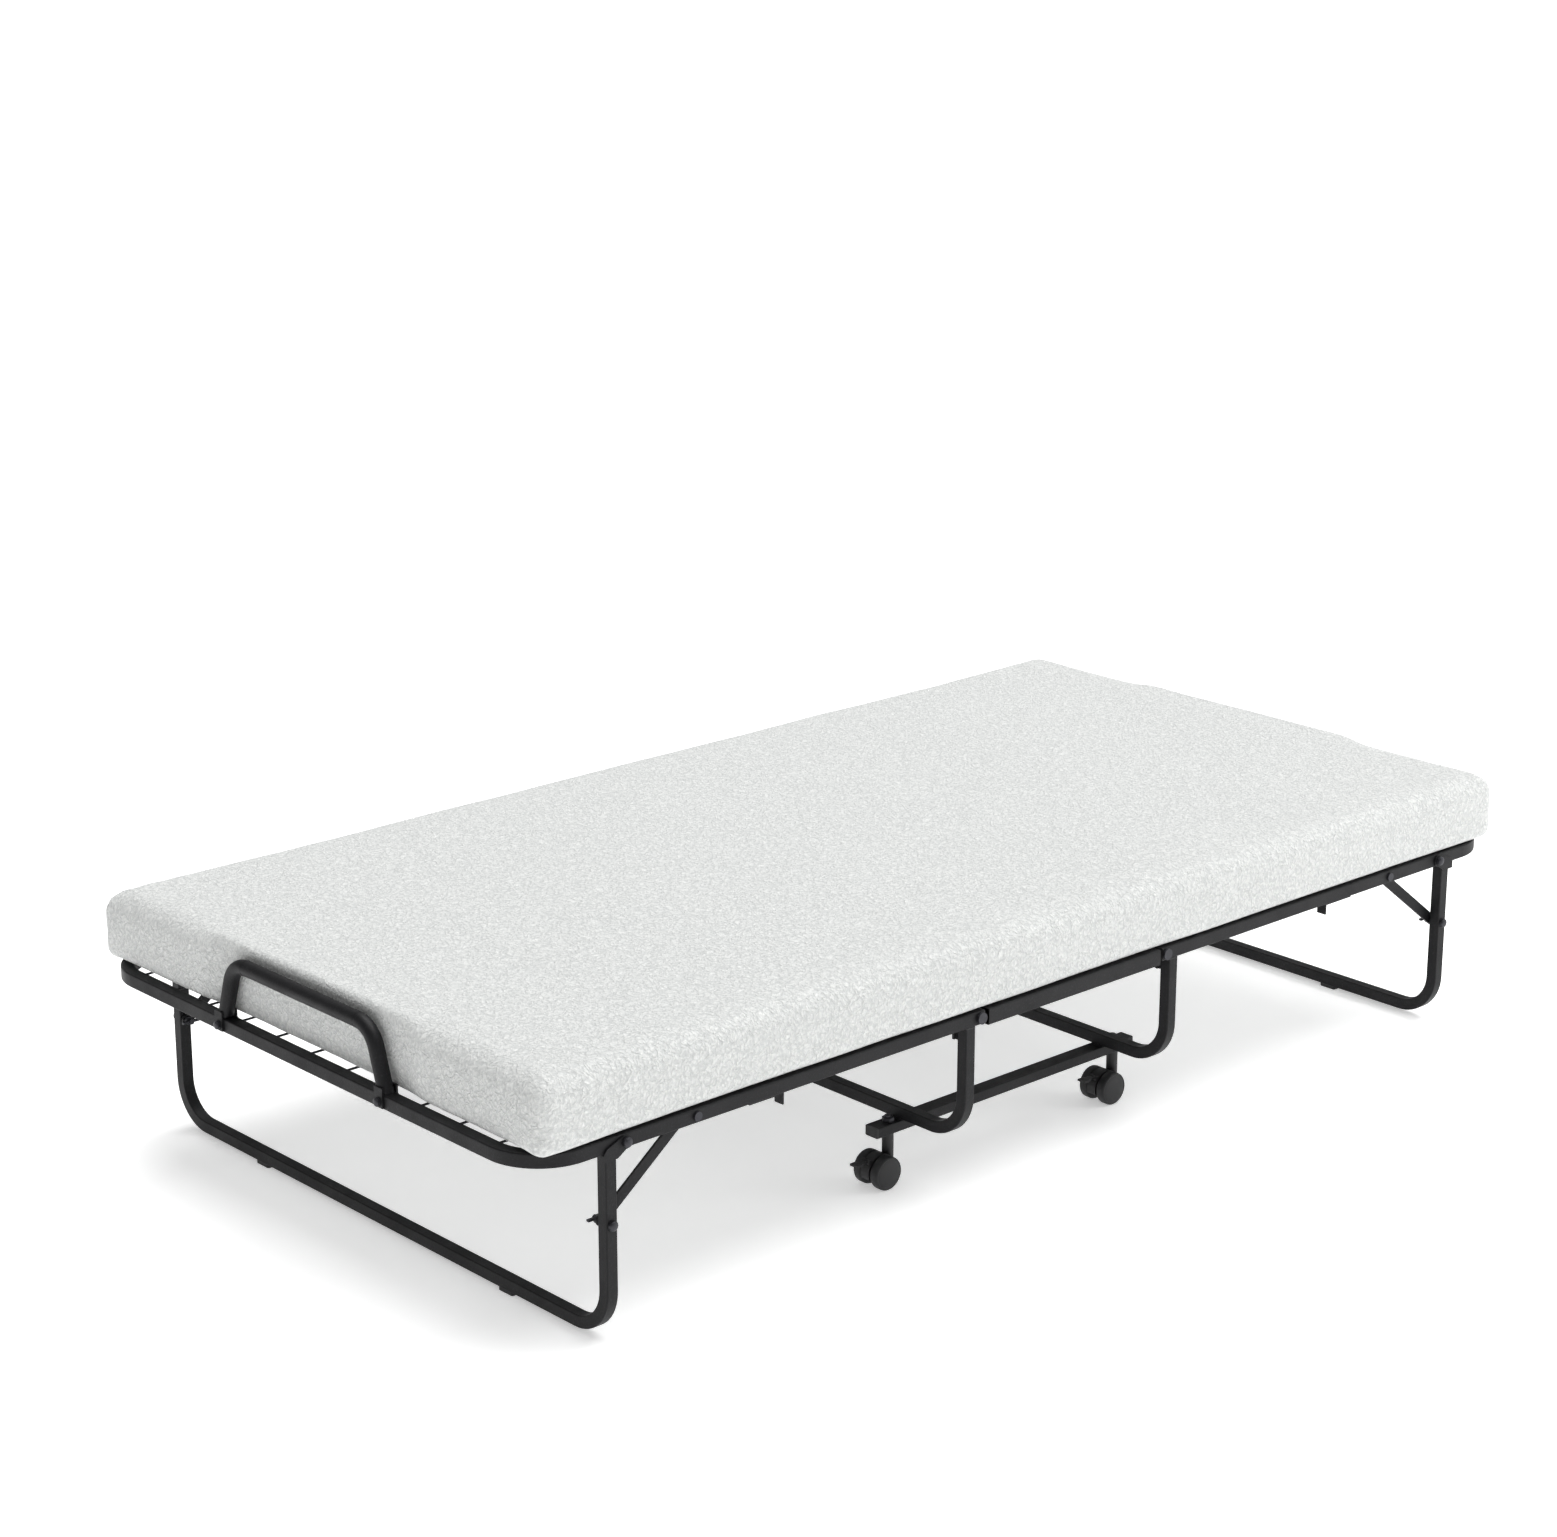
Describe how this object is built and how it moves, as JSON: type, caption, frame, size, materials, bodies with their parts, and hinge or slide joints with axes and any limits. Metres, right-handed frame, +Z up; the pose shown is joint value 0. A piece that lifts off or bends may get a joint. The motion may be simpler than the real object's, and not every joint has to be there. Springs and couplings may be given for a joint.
{
  "type": "rollaway bed",
  "caption": "Folding rollaway bed: two hinged sprung platforms with a padded mattress on a wheeled middle frame, with swinging end legs, flat braces and end handles.",
  "frame": {"origin": "on the floor, under the middle of the opened bed", "axes": "+X along the bed towards the head end, +Y to the bed's left side, +Z up"},
  "size_m": [1.98, 1.017, 0.39],
  "materials": {
    "frame_steel": "matte dark powder coat",
    "wire_steel": "dark coated wire",
    "fastener_steel": "black oxide and paint",
    "plug_plastic": "matte moulded",
    "caster_plastic": "satin moulded",
    "wheel_plastic": "satin moulded tread",
    "mattress_fabric": "pale knitted cover"
  },
  "bodies": {
    "middle_frame": {"mid_rails": "frame_steel", "mid_cross_tubes": "frame_steel", "mid_deck_wires": "wire_steel", "hinge_plates": "frame_steel", "hinge_bolts": "fastener_steel", "hinge_washers": "fastener_steel", "caster_hoop_foot": "frame_steel", "caster_hoop_head": "frame_steel", "hoop_rest_pads": "plug_plastic", "caster_bar_left": "frame_steel", "caster_bar_right": "frame_steel", "caster_bar_plugs": "plug_plastic", "caster_stems": "fastener_steel", "mattress_middle": "mattress_fabric"},
    "foot_platform": {"foot_frame": "frame_steel", "foot_cross_bars": "frame_steel", "foot_outer_deck": "wire_steel", "foot_inner_deck": "wire_steel", "foot_handle": "frame_steel", "foot_handle_bolts": "fastener_steel", "foot_leg_clips": "frame_steel", "foot_pivot_bolts": "fastener_steel", "foot_brace_studs": "fastener_steel", "foot_rail_caps": "plug_plastic", "mattress_foot": "mattress_fabric"},
    "head_platform": {"head_frame": "frame_steel", "head_cross_bars": "frame_steel", "head_outer_deck": "wire_steel", "head_inner_deck": "wire_steel", "head_handle": "frame_steel", "head_handle_bolts": "fastener_steel", "head_leg_clips": "frame_steel", "head_pivot_bolts": "fastener_steel", "head_brace_studs": "fastener_steel", "head_rail_caps": "plug_plastic", "mattress_head": "mattress_fabric"},
    "foot_leg_frame": {"foot_leg": "frame_steel", "foot_leg_brackets": "frame_steel", "foot_leg_glides": "plug_plastic", "foot_brace_bolts": "fastener_steel"},
    "head_leg_frame": {"head_leg": "frame_steel", "head_leg_brackets": "frame_steel", "head_leg_glides": "plug_plastic", "head_brace_bolts": "fastener_steel"},
    "foot_brace_left_bar": {"foot_brace_left": "frame_steel"},
    "foot_brace_right_bar": {"foot_brace_right": "frame_steel"},
    "head_brace_left_bar": {"head_brace_left": "frame_steel"},
    "head_brace_right_bar": {"head_brace_right": "frame_steel"},
    "caster_foot_left_swivel": {"caster_foot_left_fork": "caster_plastic"},
    "caster_foot_right_swivel": {"caster_foot_right_fork": "caster_plastic"},
    "caster_head_left_swivel": {"caster_head_left_fork": "caster_plastic"},
    "caster_head_right_swivel": {"caster_head_right_fork": "caster_plastic"},
    "caster_foot_left_rollers": {"caster_foot_left_wheels": "wheel_plastic"},
    "caster_foot_right_rollers": {"caster_foot_right_wheels": "wheel_plastic"},
    "caster_head_left_rollers": {"caster_head_left_wheels": "wheel_plastic"},
    "caster_head_right_rollers": {"caster_head_right_wheels": "wheel_plastic"},
    "caster_foot_right_brake": {"caster_foot_right_pedal": "caster_plastic"},
    "caster_head_right_brake": {"caster_head_right_pedal": "caster_plastic"}
  },
  "joints": [
    {"name": "foot_platform_fold", "type": "hinge", "parent": "middle_frame", "child": "foot_platform", "pos_m": [-0.192, 0, 0.2775], "axis": [0, 1, 0], "range_deg": [0, 90]},
    {"name": "head_platform_fold", "type": "hinge", "parent": "middle_frame", "child": "head_platform", "pos_m": [0.192, 0, 0.2775], "axis": [0, -1, 0], "range_deg": [0, 90]},
    {"name": "foot_leg_fold", "type": "hinge", "parent": "foot_platform", "child": "foot_leg_frame", "pos_m": [-0.832, 0, 0.2775], "axis": [0, -1, 0], "range_deg": [0, 90]},
    {"name": "head_leg_fold", "type": "hinge", "parent": "head_platform", "child": "head_leg_frame", "pos_m": [0.832, 0, 0.2775], "axis": [0, 1, 0], "range_deg": [0, 90]},
    {"name": "foot_brace_left_fold", "type": "hinge", "parent": "foot_leg_frame", "child": "foot_brace_left_bar", "pos_m": [-0.854, 0.478, 0.1675], "axis": [0, 1, 0], "range_deg": [0, 136.6]},
    {"name": "foot_brace_right_fold", "type": "hinge", "parent": "foot_leg_frame", "child": "foot_brace_right_bar", "pos_m": [-0.854, -0.478, 0.1675], "axis": [0, 1, 0], "range_deg": [0, 136.6]},
    {"name": "head_brace_left_fold", "type": "hinge", "parent": "head_leg_frame", "child": "head_brace_left_bar", "pos_m": [0.854, 0.478, 0.1675], "axis": [0, -1, 0], "range_deg": [0, 136.6]},
    {"name": "head_brace_right_fold", "type": "hinge", "parent": "head_leg_frame", "child": "head_brace_right_bar", "pos_m": [0.854, -0.478, 0.1675], "axis": [0, -1, 0], "range_deg": [0, 136.6]},
    {"name": "caster_foot_left_turn", "type": "hinge", "parent": "middle_frame", "child": "caster_foot_left_swivel", "pos_m": [-0.235, 0.363, 0.06], "axis": [0, 0, 1], "continuous": true},
    {"name": "caster_foot_left_roll", "type": "hinge", "parent": "caster_foot_left_swivel", "child": "caster_foot_left_rollers", "pos_m": [-0.255, 0.363, 0.025], "axis": [0, 1, 0], "continuous": true},
    {"name": "caster_foot_right_turn", "type": "hinge", "parent": "middle_frame", "child": "caster_foot_right_swivel", "pos_m": [-0.235, -0.363, 0.06], "axis": [0, 0, 1], "continuous": true},
    {"name": "caster_foot_right_roll", "type": "hinge", "parent": "caster_foot_right_swivel", "child": "caster_foot_right_rollers", "pos_m": [-0.255, -0.363, 0.025], "axis": [0, 1, 0], "continuous": true},
    {"name": "caster_foot_right_pedal_tip", "type": "hinge", "parent": "caster_foot_right_swivel", "child": "caster_foot_right_brake", "pos_m": [-0.276, -0.363, 0.043], "axis": [0, -1, 0], "range_deg": [0, 15]},
    {"name": "caster_head_left_turn", "type": "hinge", "parent": "middle_frame", "child": "caster_head_left_swivel", "pos_m": [0.235, 0.363, 0.06], "axis": [0, 0, 1], "continuous": true},
    {"name": "caster_head_left_roll", "type": "hinge", "parent": "caster_head_left_swivel", "child": "caster_head_left_rollers", "pos_m": [0.215, 0.363, 0.025], "axis": [0, 1, 0], "continuous": true},
    {"name": "caster_head_right_turn", "type": "hinge", "parent": "middle_frame", "child": "caster_head_right_swivel", "pos_m": [0.235, -0.363, 0.06], "axis": [0, 0, 1], "continuous": true},
    {"name": "caster_head_right_roll", "type": "hinge", "parent": "caster_head_right_swivel", "child": "caster_head_right_rollers", "pos_m": [0.215, -0.363, 0.025], "axis": [0, 1, 0], "continuous": true},
    {"name": "caster_head_right_pedal_tip", "type": "hinge", "parent": "caster_head_right_swivel", "child": "caster_head_right_brake", "pos_m": [0.194, -0.363, 0.043], "axis": [0, -1, 0], "range_deg": [0, 15]}
  ],
  "couplings": [
    {"joint": "foot_leg_fold", "follows": "foot_platform_fold", "ratio": 1},
    {"joint": "foot_brace_left_fold", "follows": "foot_platform_fold", "ratio": 1.5178},
    {"joint": "foot_brace_right_fold", "follows": "foot_platform_fold", "ratio": 1.5178},
    {"joint": "head_leg_fold", "follows": "head_platform_fold", "ratio": 1},
    {"joint": "head_brace_left_fold", "follows": "head_platform_fold", "ratio": 1.5178},
    {"joint": "head_brace_right_fold", "follows": "head_platform_fold", "ratio": 1.5178}
  ]
}
